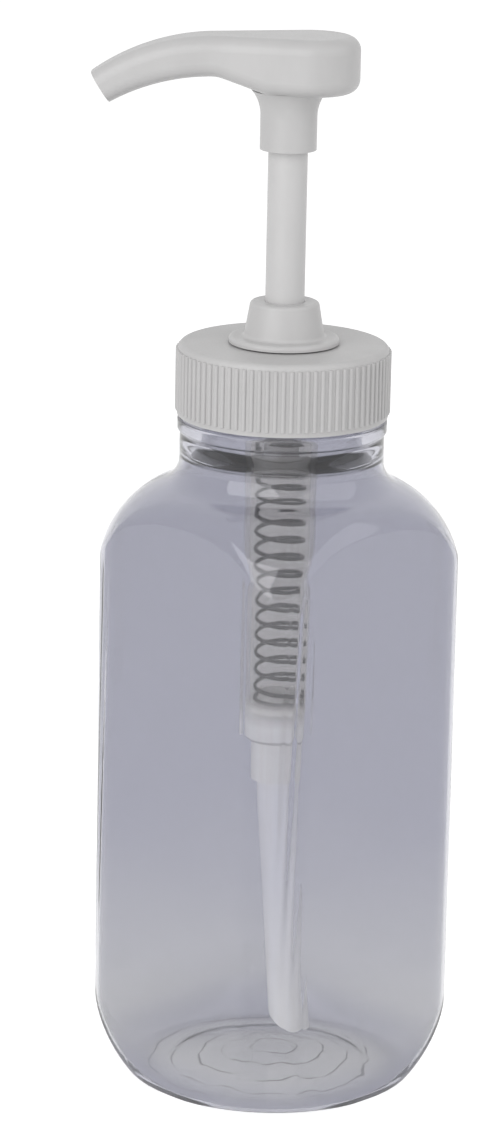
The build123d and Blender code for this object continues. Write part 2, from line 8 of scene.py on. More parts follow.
import bpy
from bpy.props import FloatProperty, FloatVectorProperty, IntProperty, PointerProperty
from bpy.types import NodeSocket, Operator, Panel, PropertyGroup
from mathutils import Matrix, Vector


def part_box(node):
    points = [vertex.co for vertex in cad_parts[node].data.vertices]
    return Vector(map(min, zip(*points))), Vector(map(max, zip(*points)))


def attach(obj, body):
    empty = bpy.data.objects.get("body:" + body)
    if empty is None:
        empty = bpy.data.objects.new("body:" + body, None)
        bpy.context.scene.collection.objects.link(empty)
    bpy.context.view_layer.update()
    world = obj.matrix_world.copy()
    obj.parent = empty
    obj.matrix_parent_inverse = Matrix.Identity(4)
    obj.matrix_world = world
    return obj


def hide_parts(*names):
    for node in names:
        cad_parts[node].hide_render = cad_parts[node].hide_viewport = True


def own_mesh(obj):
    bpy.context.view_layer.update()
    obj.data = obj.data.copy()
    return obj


bl_info = {
    "name": "Soap pump dispenser",
    "version": (1, 0, 0),
    "blender": (4, 5, 0),
    "location": "3D View > Sidebar > Soap pump",
    "description": "Dresses a clear square bottle and its lotion pump",
    "category": "Object",
}

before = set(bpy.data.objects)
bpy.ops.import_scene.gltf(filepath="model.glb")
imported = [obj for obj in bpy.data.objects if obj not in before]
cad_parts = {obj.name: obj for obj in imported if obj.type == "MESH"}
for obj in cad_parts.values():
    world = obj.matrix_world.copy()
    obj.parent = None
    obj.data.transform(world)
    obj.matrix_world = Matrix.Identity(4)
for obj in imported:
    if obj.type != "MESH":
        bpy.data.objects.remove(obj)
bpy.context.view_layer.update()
spring_low, spring_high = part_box("spring")
bottle_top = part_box("bottle")[1].z

# Fades of the bottle's finish, from start to end: levels above the stand, and reaches from the axis.
# The first fade below is painted light: the tint pales towards the foot, for the brighter surroundings seen
# low down through the bottle. The heel fades keep the upper tint on the outer foot band.
PAINTED_PALE_LEVEL = (0.012, 0.052)
HEEL_LEVEL = (0.009, 0.003)
HEEL_REACH = (0.022, 0.026)
SCUFF_LEVEL = (0.016, 0.004)
SCUFF_REACH = (0.020, 0.025)

# Rings on the bottle's floor: how far they lie aside, where they fade out, and how high the inner skin lies
# above the dome's underside. Of a ring's wave only the crest is a line, and breaks cut it.
# The rings are real moulded lines, but their dark tint is painted shade, for the shade that the clear ridges
# refract.
RING_ASIDE = (-0.0010, 0.0006, 0.0)
RING_REACH = (0.0258, 0.0246)
RING_LIFT_LOW = (0.0004, 0.0007)
RING_LIFT_HIGH = (0.0025, 0.0018)
RING_CREST = (0.980, 0.996)
RING_BREAKS = (0.36, 0.52)
RING_SHADE = 0.12

# Flow lines inside the upright corners: how far they lie from a corner's middle, how wide they spread, the
# levels where they fade out, and how they lean, in radians of their wave to a metre of height.
RIPPLE_ASIDE = 0.0034
RIPPLE_SPREAD = 0.0022
RIPPLE_LOW = (0.020, 0.050)
RIPPLE_HIGH = (0.112, 0.102)
RIPPLE_LEAN = -100.0

# Shares: a corner's mean reach in half widths, where the fine columns start in corner radii, the thread's
# run-out in turns, and how far the cone inside the neck is eased.
CORNER_REACH = 1.2
CORNER_START = 1.5
THREAD_RUN_OUT = 0.03
CONE_EASE = 0.35

# Rows of the bottle's mesh along each stretch of its section.
DOME_ROWS = 12
INNER_DOME_ROWS = 14
STAND_ROWS = 3
FOOT_ROWS = 8
HEEL_ROWS = 18
WALL_ROWS = 16
SHOULDER_ROWS = 28
HOLLOW_ROWS = 12
NECK_ROWS = 5
BEAD_ROWS = 3
ROUND_ROWS = 5
STEP_ROWS = 2
FINISH_ROWS = 44
LIP_ROWS = 4
BORE_ROWS = 14
CONE_ROWS = 16
SLEEVE_ROWS = 3

# Levels, about the spring's foot, between which the pump cylinder goes from its thick end to its thin wall.
THICK_END = spring_low.z - 0.0039
THIN_START = spring_low.z + 0.0021

# How much lighter the stem is than the other white pieces: painted light, for the frontal light that its
# upright face catches.
STEM_PAINTED_LIGHT = 1.1

# The range that most of a noise's values lie in.
NOISE_RANGE = (0.3, 0.7)

# The stage: half the floor's width, its drop below the stand, the lamps and the middle that they point at.
FLOOR_REACH = 4.0
FLOOR_DROP = 0.0003
KEY_PLACE = (-0.7, -1.0, 0.65)
FILL_PLACE = (0.95, -0.5, 0.7)
LAMP_AIM = (0.0, 0.0, 0.1)

# The camera: its place, its turns in degrees, and its focal length in pixels of a picture of this height.
CAMERA_PLACE = (-0.00581, -0.91288, 0.35085)
CAMERA_PITCH = 14.995
CAMERA_ROLL = 1.17
FOCAL_PIXELS = 4715.4
PICTURE_HEIGHT = 1130
SENSOR_HEIGHT = 36.0
NEAR_CLIP = 0.01


def length(name, description, default):
    """A length that the user can change."""
    return FloatProperty(
        name=name, description=description, default=default, min=0.0, unit="LENGTH", precision=5
    )


def colour(name, description, default):
    """A colour that the user can change."""
    return FloatVectorProperty(
        name=name, description=description, default=default, size=3, subtype="COLOR", min=0.0, max=1.0
    )


def share(name, description, default):
    """A share from 0 to 1 that the user can change."""
    return FloatProperty(
        name=name, description=description, default=default, min=0.0, max=1.0, subtype="FACTOR"
    )


def lamp_power(name, description, default):
    """A lamp's power that the user can change."""
    return FloatProperty(name=name, description=description, default=default, min=0.0, unit="POWER")


def winds(name, description, default):
    """A number of turns that the user can change."""
    return FloatProperty(name=name, description=description, default=default, min=0.0)


def whole(name, description, default):
    """A whole number that the user can change."""
    return IntProperty(name=name, description=description, default=default, min=4)


class SOAP_PG_bottle(PropertyGroup):
    """Sizes of the clear bottle."""

    height: length("Height", "From the stand to the land of the neck", bottle_top)
    width: length("Width", "Across the flat panels", 0.0564)
    corner: length("Corner radius", "Round of the upright corners", 0.0096)
    wall: length("Wall", "Thickness of the panels", 0.0007)
    floor: length("Floor", "Thickness of the floor at the stand", 0.001)
    relief: length("Relief", "How far the round envelope clears the corners", 0.0006)
    shoulder_drop: length("Shoulder drop", "From the land down to where the shoulder starts", 0.0438)
    shoulder_radius: length("Shoulder radius", "Round of the shoulder", 0.0214)
    shoulder_blend: length("Shoulder blend", "Round where the panels meet the shoulder", 0.006)
    heel_rise: length("Heel rise", "Height of the heel", 0.021)
    heel_blend: length("Heel blend", "Round where the panels meet the heel", 0.006)
    foot_radius: length("Foot radius", "Radius of the heel at the floor", 0.0286)
    foot_round: length("Foot round", "Round at the floor", 0.0035)
    stand_width: length("Stand width", "Width of the ring that the bottle stands on", 0.004)
    push_up: length("Push-up", "Height of the dome in the floor", 0.003)
    neck_radius: length("Neck radius", "Outside of the neck", 0.0204)
    neck_round: length("Neck round", "Round from the shoulder into the neck", 0.0055)
    neck_straight: length("Neck straight", "Thin-walled run of the neck above its round", 0.0005)
    neck_taper_drop: length("Neck taper drop", "From the bead down to where the bore widens", 0.0012)
    neck_bore: length("Neck bore", "Inside radius of the screw finish", 0.016)
    bead_height: length("Bead height", "Height of the bead under the closure", 0.0026)
    bead_step: length("Bead step", "How far the bead stands out", 0.0005)
    finish_height: length("Finish height", "Height of the screw finish", 0.0108)
    finish_radius: length("Finish radius", "Radius of the screw finish", 0.0175)
    lip_round: length("Lip round", "Round of the lip", 0.0004)
    thread_depth: length("Thread depth", "How far the thread stands out", 0.00115)
    thread_root: length("Thread root", "Width of the thread at its foot", 0.0021)
    thread_crest: length("Thread crest", "Width of the thread at its top", 0.001)
    thread_lead: length("Thread lead", "Rise of the thread in one turn", 0.004233)
    thread_drop: length("Thread drop", "From the land down to the thread's upper end", 0.0022)
    ripple: length("Ripple", "Depth of the flow lines inside the upright corners", 0.00008)
    ripple_length: length("Ripple length", "From one flow line to the next", 0.0022)
    panel_steps: whole("Panel steps", "Columns across a panel", 20)
    corner_steps: whole("Corner steps", "Columns round a corner", 60)


class SOAP_PG_spring(PropertyGroup):
    """Sizes of the return spring."""

    wire: length("Wire", "Diameter of the wire", 0.00085)
    radius: length("Radius", "From the axis to the middle of the wire", 0.00475)
    turns: winds("Turns", "All turns, with the closed ones", 16.5)
    end_turns: winds("End turns", "Closed turns at each end", 1.0)
    end_pitch: length("End pitch", "Rise of each closed turn", 0.0015)
    stroke: length("Stroke", "How far the press joint squeezes it", 0.030)
    turn_points: whole("Points per turn", "Points along one turn", 48)
    sides: whole("Sides", "Sides of the wire", 14)


class SOAP_PG_finish(PropertyGroup):
    """Colours and finishes."""

    clear: colour("Clear plastic", "Tint of the bottle's surfaces", (0.512, 0.515, 0.569))
    # Painted light: the paler tint low on the bottle stands in for the brighter surroundings seen through it
    # there.
    clear_painted_pale: colour(
        "Clear plastic, low", "Tint where the wall is blown thinner, near the foot", (0.604, 0.605, 0.624)
    )
    white: colour("White plastic", "Closure, hub, stem and head", (0.505, 0.5, 0.5))
    milky: colour("Milky plastic", "Pump cylinder", (1.0, 0.97, 0.905))
    tube: colour("Tube plastic", "Dip tube", (1.0, 0.985, 0.955))
    inner: colour("Inner plastic", "Piston, rod and cage", (0.72, 0.72, 0.72))
    seal: colour("Seals", "Gasket and stem seal", (0.62, 0.62, 0.60))
    steel: colour("Steel", "Spring and balls", (0.04, 0.04, 0.04))
    foot_haze: share("Foot haze", "How scuffed and hazy the bottle is at its foot", 0.14)
    see_through: share("See-through", "How clear the pump cylinder is", 0.92)
    thick_see_through: share("Thick see-through", "How clear the cylinder's thick lower end is", 0.06)
    tube_see_through: share("Tube see-through", "How clear the dip tube is", 0.03)


class SOAP_PG_stage(PropertyGroup):
    """Floor, light and background."""

    floor: colour("Floor", "Pale floor", (0.80, 0.80, 0.80))
    glow: share(
        "Floor glow", "What the floor adds for the eye, so that it is white away from the shadow", 0.58
    )
    ambient: share("Ambient", "Even light from all round", 0.58)
    lamp_size: length("Lamp size", "Width of the soft lamps", 1.3)
    key: lamp_power("Key", "Power of the key light", 10.0)
    fill: lamp_power("Fill", "Power of the fill light", 3.8)


def add(tree, kind, sockets=None, **settings):
    """Add a node, with its settings and with values or links for its sockets."""
    made = tree.nodes.new(kind)
    for name, value in settings.items():
        setattr(made, name, value)
    for key, value in (sockets or {}).items():
        if isinstance(value, NodeSocket):
            tree.links.new(value, made.inputs[key])
        else:
            made.inputs[key].default_value = value
    return made


def sums(tree, operation, first, second=0.0):
    """Add a Math node and return what it gives."""
    return add(tree, "ShaderNodeMath", {0: first, 1: second}, operation=operation).outputs[0]


def product(tree, *values):
    """Multiply values in turn."""
    made = values[0]
    for value in values[1:]:
        made = sums(tree, "MULTIPLY", made, value)
    return made


def material(name):
    """An empty node material and its output."""
    made = bpy.data.materials.new(name)
    made.use_nodes = True
    made.node_tree.nodes.clear()
    return made, made.node_tree, add(made.node_tree, "ShaderNodeOutputMaterial")


def rgba(value):
    """A colour with full cover."""
    return (*value, 1.0)


def grain(tree, scale, stretch=(1.0, 1.0, 1.0), detail=3.0):
    """Soft noise on object coordinates, stretched along an axis."""
    place = add(tree, "ShaderNodeTexCoord").outputs["Object"]
    moved = add(tree, "ShaderNodeMapping", {"Vector": place, "Scale": stretch}).outputs[0]
    noise = {"Vector": moved, "Scale": scale, "Detail": detail, "Roughness": 0.55}
    return add(tree, "ShaderNodeTexNoise", noise).outputs["Fac"]


def between(tree, value, low, high):
    """Stretch a noise value to a range."""
    start, end = NOISE_RANGE
    spread = {"Value": value, "From Min": start, "From Max": end, "To Min": low, "To Max": high}
    return add(tree, "ShaderNodeMapRange", spread).outputs[0]


def shaded(value, by):
    """A colour made lighter or darker."""
    return tuple(min(1.0, part * by) for part in value)


def tinted(tree, value, first, second):
    """A colour between two, by a value. The first may come from a node."""
    mixed = add(tree, "ShaderNodeMix", {"Factor": value, "B": rgba(second)}, data_type="RGBA")
    if isinstance(first, NodeSocket):
        tree.links.new(first, mixed.inputs["A"])
    else:
        mixed.inputs["A"].default_value = rgba(first)
    return mixed.outputs["Result"]


def uneven(tree, noise, base, darker, lighter):
    """A base colour that drifts between a darker and a lighter one with a noise."""
    return tinted(tree, between(tree, noise, low=0.0, high=1.0), shaded(base, darker), shaded(base, lighter))


def relief(tree, height, distance, strength):
    """A fine surface relief."""
    bump = {"Height": height, "Distance": distance, "Strength": strength}
    return add(tree, "ShaderNodeBump", bump).outputs["Normal"]


def ramp(tree, value, fade):
    """From 0 to 1 as a value goes from a fade's start to its end."""
    start, end = fade
    ranged = add(tree, "ShaderNodeMapRange", {"Value": value, "From Min": start, "From Max": end})
    return ranged.outputs[0]


def lamps_shine_through(tree, shader, output):
    """Finish a see-through material: its shader for the eye, and a straight way through for the lamps."""
    lamp_way = add(tree, "ShaderNodeBsdfTransparent", {"Color": (1, 1, 1, 1)})
    by_lamps = add(tree, "ShaderNodeLightPath").outputs["Is Shadow Ray"]
    both = add(tree, "ShaderNodeMixShader", {0: by_lamps, 1: shader.outputs[0], 2: lamp_way.outputs[0]})
    tree.links.new(both.outputs[0], output.inputs["Surface"])


def floor_rings(tree, flat, reach, lift):
    """Thin wavering rings on the inner skin of the bottle's floor: 1 on a line, 0 elsewhere."""
    aside = add(tree, "ShaderNodeVectorMath", {0: flat, 1: RING_ASIDE}).outputs[0]
    waver = {"Scale": 62.0, "Distortion": 4.2, "Detail": 2.5, "Detail Scale": 1.3, "Phase Offset": 3.4}
    rings = add(
        tree, "ShaderNodeTexWave", {"Vector": aside, **waver}, wave_type="RINGS", rings_direction="Z"
    ).outputs["Fac"]
    return product(
        tree,
        ramp(tree, rings, RING_CREST),
        ramp(tree, grain(tree, scale=150.0), RING_BREAKS),
        ramp(tree, lift, RING_LIFT_LOW),
        ramp(tree, lift, RING_LIFT_HIGH),
        ramp(tree, reach, RING_REACH),
    )


def dome_lift(tree, level, reach, sizes):
    """How far a point lies above the underside of the dome in the bottle's floor."""
    outwards = sums(tree, "POWER", sums(tree, "DIVIDE", reach, stand_inside(sizes)), 2.0)
    inwards = sums(tree, "MAXIMUM", sums(tree, "SUBTRACT", 1.0, outwards), 0.0)
    return sums(tree, "SUBTRACT", level, sums(tree, "MULTIPLY", inwards, sizes.push_up))


def clear_plastic(finish, sizes):
    """Blown clear plastic: tinted, faintly uneven, paler towards the foot as painted light, hazy at its
    scuffed foot.
    """
    made, tree, output = material("clear_plastic")
    flow = grain(tree, scale=38.0, stretch=(1.0, 1.0, 0.35))
    fine = grain(tree, scale=420.0)
    place = add(tree, "ShaderNodeTexCoord").outputs["Object"]
    level = add(tree, "ShaderNodeSeparateXYZ", {0: place}).outputs["Z"]
    flat = add(tree, "ShaderNodeVectorMath", {0: place, 1: (1, 1, 0)}, operation="MULTIPLY").outputs[0]
    reach = add(tree, "ShaderNodeVectorMath", {0: flat}, operation="LENGTH").outputs["Value"]
    # Painted light: the tint pales towards the foot, except on the outer foot band, which keeps the upper
    # tint.
    heel = product(tree, ramp(tree, level, HEEL_LEVEL), ramp(tree, reach, HEEL_REACH))
    top_tint_share = sums(tree, "MAXIMUM", ramp(tree, level, PAINTED_PALE_LEVEL), heel)
    tint = tinted(tree, top_tint_share, finish.clear_painted_pale, finish.clear)
    rings = floor_rings(tree, flat, reach, dome_lift(tree, level, reach, sizes))
    scuffed = product(tree, ramp(tree, level, SCUFF_LEVEL), ramp(tree, reach, SCUFF_REACH))
    haze = product(tree, scuffed, finish.foot_haze)
    shader = add(
        tree,
        "ShaderNodeBsdfPrincipled",
        {
            # Painted shade: the floor rings darken the tint.
            "Base Color": tinted(tree, rings, tint, shaded(finish.clear, RING_SHADE)),
            "Roughness": between(tree, fine, low=0.01, high=0.04),
            "IOR": 1.5,
            "Transmission Weight": sums(tree, "SUBTRACT", 1.0, haze),
            "Normal": relief(tree, flow, distance=0.0004, strength=0.35),
        },
    )
    lamps_shine_through(tree, shader, output)
    return made


def moulded_plastic(name, base, roughness):
    """Moulded plastic with faint flow marks and a satin, slightly uneven surface."""
    made, tree, output = material(name)
    flow = grain(tree, scale=160.0, stretch=(1.0, 1.0, 0.4))
    fine = grain(tree, scale=2600.0, detail=2.0)
    shader = add(
        tree,
        "ShaderNodeBsdfPrincipled",
        {
            "Base Color": uneven(tree, flow, base, darker=0.97, lighter=1.03),
            "Roughness": between(tree, fine, low=roughness - 0.05, high=roughness + 0.07),
            "IOR": 1.49,
            "Normal": relief(tree, fine, distance=0.00002, strength=0.06),
        },
    )
    tree.links.new(shader.outputs[0], output.inputs["Surface"])
    return made


def by_level(tree, steps):
    """A value that changes between two levels: (low value, low level, high level, high value)."""
    low_value, low, high, high_value = steps
    place = add(tree, "ShaderNodeTexCoord").outputs["Object"]
    level = add(tree, "ShaderNodeSeparateXYZ", {0: place}).outputs["Z"]
    change = {"Value": level, "From Min": low, "From Max": high, "To Min": low_value, "To Max": high_value}
    return add(tree, "ShaderNodeMapRange", change).outputs[0]


def milky_plastic(name, base, clearness, roughness):
    """Translucent plastic with lines along its length. Its clearness is one share, or steps by level."""
    made, tree, output = material(name)
    lines = grain(tree, scale=900.0, stretch=(1.0, 1.0, 0.02), detail=2.0)
    if isinstance(clearness, tuple):
        clearness = by_level(tree, clearness)
    shader = add(
        tree,
        "ShaderNodeBsdfPrincipled",
        {
            "Base Color": uneven(tree, lines, base, darker=0.95, lighter=1.04),
            "Roughness": roughness,
            "IOR": 1.4,
            "Transmission Weight": clearness,
            "Normal": relief(tree, lines, distance=0.00003, strength=0.12),
        },
    )
    lamps_shine_through(tree, shader, output)
    return made


def drawn_steel(finish):
    """Drawn spring wire: dark bright steel with fine lines and a little tarnish."""
    made, tree, output = material("spring_steel")
    tarnish = grain(tree, scale=700.0)
    fine = grain(tree, scale=5200.0, detail=2.0)
    shader = add(
        tree,
        "ShaderNodeBsdfPrincipled",
        {
            "Base Color": uneven(tree, tarnish, finish.steel, darker=0.8, lighter=1.25),
            "Metallic": 1.0,
            "Roughness": between(tree, fine, low=0.22, high=0.36),
            "Normal": relief(tree, fine, distance=0.00001, strength=0.4),
        },
    )
    tree.links.new(shader.outputs[0], output.inputs["Surface"])
    return made


def soft_seal(finish):
    """Soft sealing foam and rubber."""
    made, tree, output = material("soft_seal")
    cells = grain(tree, scale=1800.0, detail=4.0)
    shader = add(
        tree,
        "ShaderNodeBsdfPrincipled",
        {
            "Base Color": uneven(tree, cells, finish.seal, darker=0.92, lighter=1.05),
            "Roughness": 0.75,
            "Normal": relief(tree, cells, distance=0.00005, strength=0.5),
        },
    )
    tree.links.new(shader.outputs[0], output.inputs["Surface"])
    return made


def dress(node, finish_material):
    """Give a CAD node its material."""
    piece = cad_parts[node]
    if not piece.material_slots:
        piece.data.materials.append(finish_material)
    for slot in piece.material_slots:
        slot.material = finish_material


def arc(centre, radius, start, end, count):
    """Points of an arc in (reach, height), by angles in radians, without the first."""
    steps = [start + (end - start) * (index + 1) / count for index in range(count)]
    return [(centre[0] + radius * math.cos(step), centre[1] + radius * math.sin(step)) for step in steps]


def run(start, end, count):
    """Points of a straight run in (reach, height), without the first."""
    across, up = end[0] - start[0], end[1] - start[1]
    steps = [(index + 1) / count for index in range(count)]
    return [(start[0] + across * step, start[1] + up * step) for step in steps]


def swell(start, end, count):
    """Points of a cone with soft ends in (reach, height), without the first."""
    straight = run(start, end, count)
    eased = [start[0] + (end[0] - start[0]) * smooth_step((index + 1) / count) for index in range(count)]
    return [
        ((1 - CONE_EASE) * reach + CONE_EASE * soft_reach, level)
        for (reach, level), soft_reach in zip(straight, eased)
    ]


def stand_inside(sizes):
    """Inner radius of the ring that the bottle stands on, where the dome in the floor starts."""
    return sizes.foot_radius - sizes.foot_round - sizes.stand_width


class Shell:
    """One skin of the bottle's body, outside or inside: the round envelope and the square that cuts it."""

    def __init__(self, sizes, inset, floor):
        self.sizes = sizes
        self.floor = floor
        self.neck = sizes.neck_radius - inset
        self.neck_round = sizes.neck_round + inset
        self.half = sizes.width / 2 - inset
        self.corner = sizes.corner - inset
        self.half_diagonal = (self.half - self.corner) * math.sqrt(2) + self.corner
        self.wide = self.half_diagonal + sizes.relief
        self.shoulder_level = sizes.height - sizes.shoulder_drop
        self.shoulder_radius = sizes.shoulder_radius - inset
        self.shoulder_centre = self.wide - self.shoulder_radius
        self.shoulder_blend = sizes.shoulder_blend - inset
        self.heel_blend = sizes.heel_blend - inset
        lean = self.wide - (sizes.foot_radius - inset)
        rise = sizes.heel_rise - floor
        self.heel_radius = (lean**2 + rise**2) / (2 * lean)
        self.heel_centre = self.wide - self.heel_radius
        self.foot_round = sizes.foot_round - inset
        self.stand_inside = stand_inside(sizes)

    def square(self, turn):
        """Reach of the rounded square at an angle from a panel's middle."""
        flat = self.half - self.corner
        turn = abs(turn)
        if turn <= math.atan2(flat, self.half):
            return self.half / math.cos(turn)
        across = math.cos(turn) + math.sin(turn)
        return flat * across + math.sqrt(max(self.corner**2 - flat**2 * (1 - math.sin(2 * turn)), 0.0))

    def cut(self, reach, level, panel):
        """The envelope's reach at a level, cut by a panel and rounded where they meet."""
        sizes = self.sizes
        if level > self.shoulder_level:
            middle, centre, radius, blend, side = (
                self.shoulder_level, self.shoulder_centre, self.shoulder_radius, self.shoulder_blend, 1,
            )
        elif level < sizes.heel_rise:
            middle, centre, radius, blend, side = (
                sizes.heel_rise, self.heel_centre, self.heel_radius, self.heel_blend, -1,
            )
        else:
            return min(reach, panel)
        rise = math.sqrt(max((radius - blend) ** 2 - (panel - blend - centre) ** 2, 0.0))
        above = side * (level - middle)
        if above <= rise:
            return min(reach, panel)
        if above < radius * rise / (radius - blend):
            return min(reach, panel - blend + math.sqrt(max(blend**2 - (above - rise) ** 2, 0.0)))
        return reach

    def foot(self):
        """Rows from the edge of the stand up the foot and the heel."""
        sizes = self.sizes
        level = self.floor + self.foot_round
        inner = self.heel_radius - self.foot_round
        centre = self.heel_centre + math.sqrt(inner**2 - (sizes.heel_rise - level) ** 2)
        tilt = math.atan2(level - sizes.heel_rise, centre - self.heel_centre)
        rows = run((self.stand_inside, self.floor), (centre, self.floor), STAND_ROWS)
        rows += arc((centre, level), self.foot_round, -math.pi / 2, tilt, FOOT_ROWS)
        return rows + arc((self.heel_centre, sizes.heel_rise), self.heel_radius, tilt, 0.0, HEEL_ROWS)

    def shoulder(self):
        """Rows up the walls, over the shoulder and into the neck."""
        sizes = self.sizes
        hollow = self.neck + self.neck_round
        far = self.shoulder_radius + self.neck_round
        level = self.shoulder_level + math.sqrt(far**2 - (hollow - self.shoulder_centre) ** 2)
        tilt = math.atan2(level - self.shoulder_level, hollow - self.shoulder_centre)
        middle = (self.shoulder_centre, self.shoulder_level)
        rows = run((self.wide, sizes.heel_rise), (self.wide, self.shoulder_level), WALL_ROWS)
        rows += arc(middle, self.shoulder_radius, 0.0, tilt, SHOULDER_ROWS)
        return rows + arc((hollow, level), self.neck_round, tilt + math.pi, math.pi, HOLLOW_ROWS)

    def crown(self, reach):
        """Height of the dome in the floor."""
        sizes = self.sizes
        radius = (self.stand_inside**2 + sizes.push_up**2) / (2 * sizes.push_up)
        if reach >= self.stand_inside:
            return self.floor
        return self.floor + sizes.push_up - radius + math.sqrt(radius**2 - reach**2)

    def dome(self, count):
        """Rows of the dome in the floor, from beside the axis out to the stand."""
        reaches = [self.stand_inside * (index + 1) / count for index in range(count)]
        return [(reach, self.crown(reach)) for reach in reaches]


def column_turns(sizes):
    """Angles of the columns from a panel's middle, for one quarter, closer together round the corner."""
    half = sizes.width / 2
    edge = math.atan2(half - CORNER_START * sizes.corner, half)
    turns = [-edge + 2 * edge * index / sizes.panel_steps for index in range(sizes.panel_steps)]
    fine = math.pi / 2 - 2 * edge
    return turns + [edge + fine * index / sizes.corner_steps for index in range(sizes.corner_steps)]


def smooth_step(value):
    """From 0 to 1, gently at both ends."""
    value = min(max(value, 0.0), 1.0)
    return value * value * (3 - 2 * value)


def faded(value, fade):
    """From 0 to 1, gently, as a value goes from a fade's start to its end."""
    start, end = fade
    return smooth_step((value - start) / (end - start))


def corner_ripple(sizes, panel_turn, level):
    """Flow lines inside the upright corners, to one side of each, where the blown wall is uneven."""
    aside = (math.pi / 4 + panel_turn) * sizes.width / 2 * CORNER_REACH
    near = math.exp(-(((aside - RIPPLE_ASIDE) / RIPPLE_SPREAD) ** 2))
    depth = sizes.ripple * near * faded(level, RIPPLE_LOW) * faded(level, RIPPLE_HIGH)
    return depth * math.cos(2 * math.pi * aside / sizes.ripple_length + RIPPLE_LEAN * level)


def thread_height(sizes, angle, level):
    """How far the one-turn screw thread stands out at an angle and a level."""
    turn = (angle % (2 * math.pi)) / (2 * math.pi)
    first = sizes.height - sizes.thread_drop - sizes.thread_lead
    ends = smooth_step(turn / THREAD_RUN_OUT) * smooth_step((1 - turn) / THREAD_RUN_OUT)
    off = abs(level - first - sizes.thread_lead * turn)
    flank = (sizes.thread_root / 2 - off) / (sizes.thread_root / 2 - sizes.thread_crest / 2)
    return sizes.thread_depth * ends * min(max(flank, 0.0), 1.0)


def collar_rows(sizes, start):
    """Points up the outside of the neck and over its bead, to the foot of the screw finish."""
    bead_top = sizes.height - sizes.finish_height
    bead_low = bead_top - sizes.bead_height
    bead = sizes.neck_radius + sizes.bead_step
    step = sizes.bead_step
    under = (sizes.neck_radius, bead_low - step / 2)
    ledge = (sizes.finish_radius + step, bead_top)
    rows = run(start, under, NECK_ROWS)
    rows += run(under, (bead - step, bead_low), 1)
    rows += arc((bead - step, bead_low + step), step, -math.pi / 2, 0.0, ROUND_ROWS)
    rows += run((bead, bead_low + step), (bead, bead_top - step), BEAD_ROWS)
    rows += arc((bead - step, bead_top - step), step, 0.0, math.pi / 2, ROUND_ROWS)
    rows += run((bead - step, bead_top), ledge, BEAD_ROWS)
    return rows + run(ledge, (sizes.finish_radius, bead_top + step / 2), STEP_ROWS)


def mouth_rows(sizes, inside, end):
    """Points over the lip and down the bore, which widens below the bead, to the inside of the neck."""
    top = sizes.height
    lip = sizes.lip_round
    bead_low = top - sizes.finish_height - sizes.bead_height
    widens = (sizes.neck_bore, bead_low - sizes.neck_taper_drop)
    widened = (inside.neck, end[1] + sizes.neck_straight)
    rows = arc((sizes.finish_radius - lip, top - lip), lip, 0.0, math.pi / 2, LIP_ROWS)
    rows += run((sizes.finish_radius - lip, top), (sizes.neck_bore + lip, top), STEP_ROWS)
    rows += arc((sizes.neck_bore + lip, top - lip), lip, math.pi / 2, math.pi, LIP_ROWS)
    rows += run((sizes.neck_bore, top - lip), widens, BORE_ROWS)
    rows += swell(widens, widened, CONE_ROWS)
    return rows + run(widened, end, SLEEVE_ROWS)


def bottle_rows(sizes, outside, inside):
    """The bottle's section as rows of (kind, reach, level), up the outside and down the inside."""
    ascent = outside.foot() + outside.shoulder()
    collar = collar_rows(sizes, ascent[-1])
    finish = run(collar[-1], (sizes.finish_radius, sizes.height - sizes.lip_round), FINISH_ROWS)
    descent = list(reversed(inside.foot() + inside.shoulder()))
    inner_dome = list(reversed(inside.dome(INNER_DOME_ROWS)[:-1]))
    stretches = (
        ("round", outside.dome(DOME_ROWS)),
        ("outside", ascent),
        ("round", collar),
        ("thread", finish),
        ("round", mouth_rows(sizes, inside, descent[0])),
        ("inside", descent[1:]),
        ("round", inner_dome),
    )
    return [(kind, *point) for kind, points in stretches for point in points]


def bottle_mesh(sizes):
    """The bottle as one closed skin of rows and columns."""
    outside = Shell(sizes, 0.0, 0.0)
    inside = Shell(sizes, sizes.wall, sizes.floor)
    columns = [
        (math.pi / 4 + quarter * math.pi / 2 + turn, turn)
        for quarter in range(4)
        for turn in column_turns(sizes)
    ]
    columns = [(angle, turn if turn <= math.pi / 4 else turn - math.pi / 2) for angle, turn in columns]
    rows = bottle_rows(sizes, outside, inside)
    points = [(0.0, 0.0, outside.crown(0.0))]
    for kind, reach, level in rows:
        for angle, turn in columns:
            out = reach
            if kind == "outside":
                out = outside.cut(reach, level, outside.square(turn))
            elif kind == "inside":
                out = inside.cut(reach, level, inside.square(turn))
                out += corner_ripple(sizes, turn, level)
            elif kind == "thread":
                out = reach + thread_height(sizes, angle, level)
            points.append((out * math.cos(angle), out * math.sin(angle), level))
    points.append((0.0, 0.0, inside.crown(0.0)))
    count = len(columns)
    faces = [(0, 1 + (index + 1) % count, 1 + index) for index in range(count)]
    for row in range(len(rows) - 1):
        low = 1 + row * count
        for index in range(count):
            beside = (index + 1) % count
            faces.append((low + index, low + beside, low + count + beside, low + count + index))
    last = 1 + (len(rows) - 1) * count
    faces += [(len(points) - 1, last + index, last + (index + 1) % count) for index in range(count)]
    mesh = bpy.data.meshes.new("clear_bottle")
    mesh.from_pydata(points, [], faces)
    mesh.shade_smooth()
    mesh.validate()
    return mesh


def new_piece(name, mesh):
    """Link a new object to the scene."""
    made = bpy.data.objects.new(name, mesh)
    bpy.context.scene.collection.objects.link(made)
    return made


class SOAP_OT_bottle(Operator):
    """Make the clear bottle, with its screw finish and its uneven blown walls"""

    bl_idname = "soap_pump.bottle"
    bl_label = "Clear bottle"

    def execute(self, context):
        sizes = context.scene.soap_bottle
        mesh = bottle_mesh(sizes)
        mesh.materials.append(clear_plastic(context.scene.soap_finish, sizes))
        piece = new_piece("clear_bottle", mesh)
        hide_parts("bottle")
        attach(piece, "bottle")
        return {"FINISHED"}


